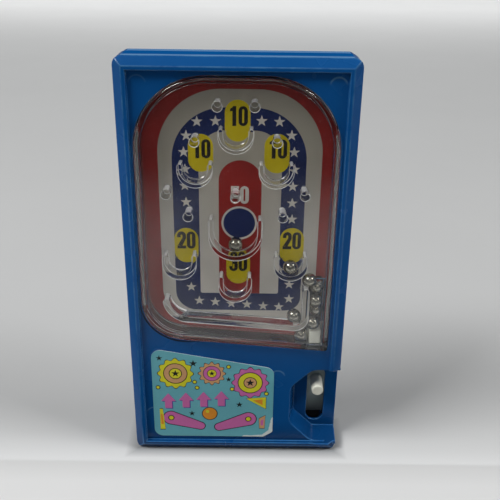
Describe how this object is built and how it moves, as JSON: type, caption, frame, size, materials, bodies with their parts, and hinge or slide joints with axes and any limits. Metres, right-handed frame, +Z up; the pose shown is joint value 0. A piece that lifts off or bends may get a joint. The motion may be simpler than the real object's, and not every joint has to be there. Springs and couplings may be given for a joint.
{
  "type": "handheld pinball game",
  "caption": "Handheld pinball game: flat plastic case, clear cover over a printed field with pegs and cups, loose steel balls and a sprung plunger in a finger scoop.",
  "frame": {"origin": "middle of the bottom end, on the surface that the case stands on", "axes": "+Z up along the case, +X to the right seen from the front, +Y from the front to the back"},
  "size_m": [0.072, 0.016, 0.1394],
  "materials": {
    "case_blue": "satin moulded polystyrene",
    "clear_plastic": "clear, polished, fine scratches",
    "printed_card": "printed card, semi-matt",
    "ivory_plastic": "satin ivory",
    "spring_steel": "drawn wire",
    "ball_steel": "polished steel, slightly dulled",
    "label_paper": "printed sticker, slightly worn",
    "screw_steel": "zinc plated"
  },
  "bodies": {
    "case": {"front_shell": "case_blue", "back_shell": "case_blue", "clear_cover": "clear_plastic", "playfield_card": "printed_card", "label": "label_paper", "return_spring": "spring_steel", "screw_1": "screw_steel", "screw_2": "screw_steel", "screw_3": "screw_steel", "screw_4": "screw_steel"},
    "plunger": {"plunger": "ivory_plastic"},
    "ball_1": {"ball_1": "ball_steel"},
    "ball_2": {"ball_2": "ball_steel"},
    "ball_3": {"ball_3": "ball_steel"},
    "ball_4": {"ball_4": "ball_steel"},
    "ball_5": {"ball_5": "ball_steel"},
    "ball_6": {"ball_6": "ball_steel"},
    "ball_7": {"ball_7": "ball_steel"},
    "ball_8": {"ball_8": "ball_steel"},
    "ball_9": {"ball_9": "ball_steel"}
  },
  "joints": [
    {"name": "plunger_slide", "type": "slide", "parent": "case", "child": "plunger", "axis": [0, 0, -1], "range_m": [0, 0.009], "stiffness_N_per_m": 150, "springref_m": -0.003, "deforming": ["return_spring"]},
    {"name": "ball_1_drop", "type": "slide", "parent": "case", "child": "ball_1", "axis": [0.252, 0, -0.9677], "range_m": [0, 0.0045]},
    {"name": "ball_2_drop", "type": "slide", "parent": "case", "child": "ball_2", "axis": [0, 0, -1], "range_m": [0, 0.0039]},
    {"name": "ball_3_drop", "type": "slide", "parent": "case", "child": "ball_3", "axis": [0, 0, -1], "range_m": [0, 0.0039]},
    {"name": "ball_4_drop", "type": "slide", "parent": "case", "child": "ball_4", "axis": [0, 0, -1], "range_m": [0, 0.0039]},
    {"name": "ball_5_rise", "type": "slide", "parent": "case", "child": "ball_5", "axis": [0.29, 0, 0.957], "range_m": [0, 0.007]},
    {"name": "ball_6_roll", "type": "slide", "parent": "case", "child": "ball_6", "axis": [-0.9968, 0, 0.0795], "range_m": [0, 0.038]},
    {"name": "ball_7_roll", "type": "slide", "parent": "case", "child": "ball_7", "axis": [-0.9968, 0, 0.0795], "range_m": [0, 0.035]},
    {"name": "ball_8_leap", "type": "slide", "parent": "case", "child": "ball_8", "axis": [0, 0, 1], "range_m": [0, 0.012]},
    {"name": "ball_9_leap", "type": "slide", "parent": "case", "child": "ball_9", "axis": [0, 0, 1], "range_m": [0, 0.012]}
  ],
  "couplings": [
    {"joint": "ball_1_drop", "follows": "plunger_slide", "ratio": 0.4903},
    {"joint": "ball_2_drop", "follows": "plunger_slide", "ratio": 0.43},
    {"joint": "ball_3_drop", "follows": "plunger_slide", "ratio": 0.43},
    {"joint": "ball_4_drop", "follows": "plunger_slide", "ratio": 0.43}
  ]
}
